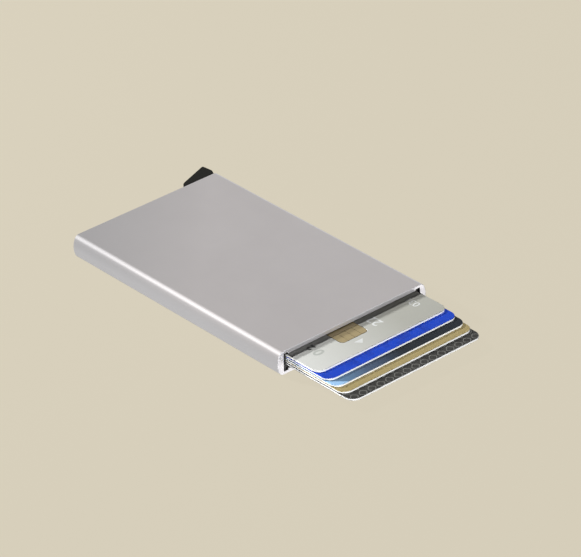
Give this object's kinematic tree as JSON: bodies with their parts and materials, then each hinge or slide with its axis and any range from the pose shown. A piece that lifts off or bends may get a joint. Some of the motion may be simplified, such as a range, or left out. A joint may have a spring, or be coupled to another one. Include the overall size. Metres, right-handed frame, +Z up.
{
  "type": "minimalist card wallet",
  "caption": "Slim aluminium card case with fanned-out cards, a corner push lever with ejector fingers inside, an end cap, felt card brakes and a pivot pin.",
  "frame": {"origin": "middle of the case's underside", "axes": "+X to the right, +Y from the card mouth to the lever end, +Z up through the case's thickness"},
  "size_m": [0.0612, 0.1349, 0.0082],
  "materials": {
    "case_aluminium": "fine-blasted, clear anodised",
    "cap_plastic": "moulded black",
    "lever_plastic": "moulded black, fine texture",
    "pivot_steel": "bright steel",
    "leaf_steel": "spring steel",
    "brake_felt": "dense dark felt",
    "card_light_grey": "laminated card, light grey",
    "card_royal_blue": "laminated card, royal blue",
    "card_dark_navy": "laminated card, dark navy to slate blue",
    "card_gold": "laminated card, khaki gold",
    "card_carbon": "laminated card, carbon weave print",
    "chip_contacts": "gold-plated contacts"
  },
  "bodies": {
    "case": {"housing": "case_aluminium", "end_cap": "cap_plastic", "pivot_pin": "pivot_steel", "return_spring": "pivot_steel", "leaf_spring_left": "leaf_steel", "leaf_spring_right": "leaf_steel", "brake_carrier_left": "cap_plastic", "brake_carrier_right": "cap_plastic", "felt_pad_left": "brake_felt", "felt_pad_right": "brake_felt", "floor_liner": "brake_felt"},
    "lever": {"ejector_lever": "lever_plastic", "ejector_finger_1": "lever_plastic", "ejector_finger_2": "lever_plastic", "ejector_finger_3": "lever_plastic", "ejector_finger_4": "lever_plastic", "ejector_finger_5": "lever_plastic"},
    "card_body_1": {"card_1": "card_light_grey", "chip_1": "chip_contacts"},
    "card_body_2": {"card_2": "card_royal_blue", "chip_2": "chip_contacts"},
    "card_body_3": {"card_3": "card_dark_navy", "chip_3": "chip_contacts"},
    "card_body_4": {"card_4": "card_gold"},
    "card_body_5": {"card_5": "card_carbon", "chip_5": "chip_contacts"}
  },
  "joints": [
    {"name": "lever_swing", "type": "hinge", "parent": "case", "child": "lever", "pos_m": [0.024, 0.0438, 0.0042], "axis": [0, 0, 1], "range_deg": [0, 40], "stiffness_Nm_per_rad": 0.0008, "springref_deg": -20.05},
    {"name": "card_slide_1", "type": "slide", "parent": "case", "child": "card_body_1", "axis": [0, -1, 0], "range_m": [-0.01547, 0.0634]},
    {"name": "card_slide_2", "type": "slide", "parent": "case", "child": "card_body_2", "axis": [0, -1, 0], "range_m": [-0.01997, 0.0589]},
    {"name": "card_slide_3", "type": "slide", "parent": "case", "child": "card_body_3", "axis": [0, -1, 0], "range_m": [-0.02349, 0.0554]},
    {"name": "card_slide_4", "type": "slide", "parent": "case", "child": "card_body_4", "axis": [0, -1, 0], "range_m": [-0.02671, 0.0521]},
    {"name": "card_slide_5", "type": "slide", "parent": "case", "child": "card_body_5", "axis": [0, -1, 0], "range_m": [-0.03055, 0.0483]}
  ]
}
